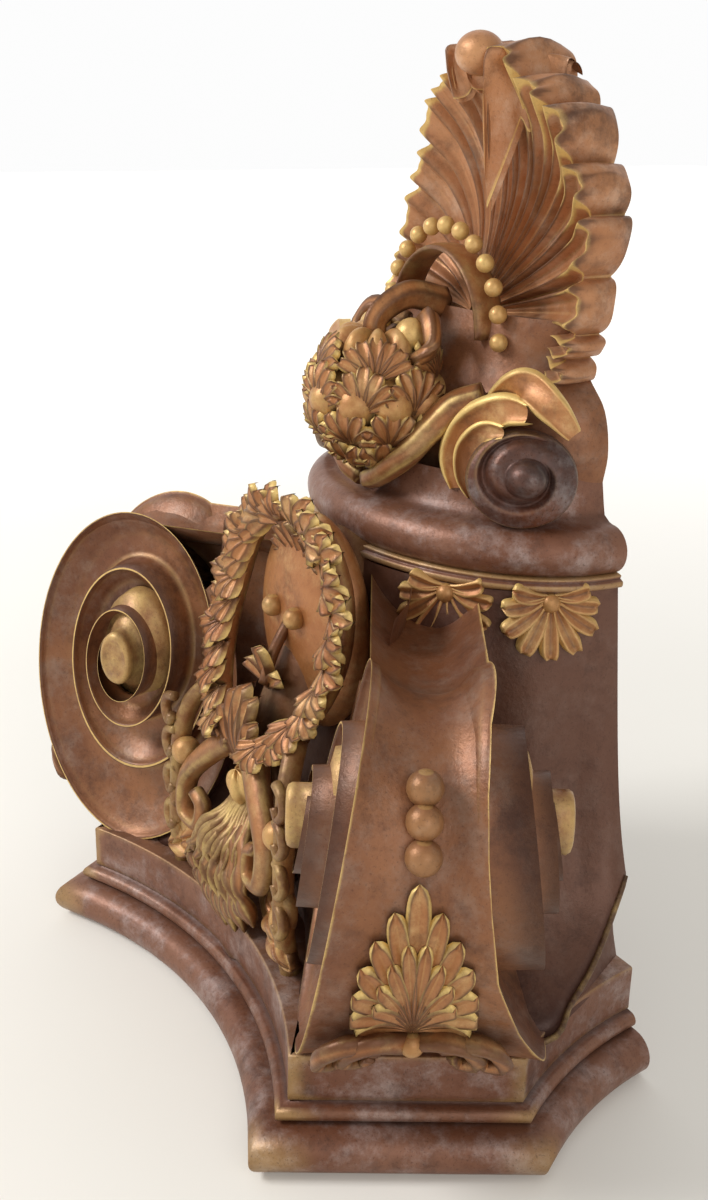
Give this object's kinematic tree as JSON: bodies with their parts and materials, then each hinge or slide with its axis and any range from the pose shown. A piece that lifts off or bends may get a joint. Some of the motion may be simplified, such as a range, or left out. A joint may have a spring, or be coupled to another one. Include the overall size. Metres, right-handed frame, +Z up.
{
  "type": "wall console",
  "caption": "Cast ornamental wall console in the style of a composite half capital: moulded shelf, corner volutes, leafy cartouche, ring and leaf finial.",
  "frame": {"origin": "under the middle of the part's overall box, on the level foot of the shelf moulding", "axes": "+Z up as it stands on its shelf, flat back toward +Y, carved front toward -Y, +X to the right seen from the front"},
  "size_m": [0.3492, 0.1674, 0.4],
  "materials": {
    "bronze_paint": "satin"
  },
  "bodies": {
    "root": {"console": "bronze_paint"}
  },
  "joints": []
}
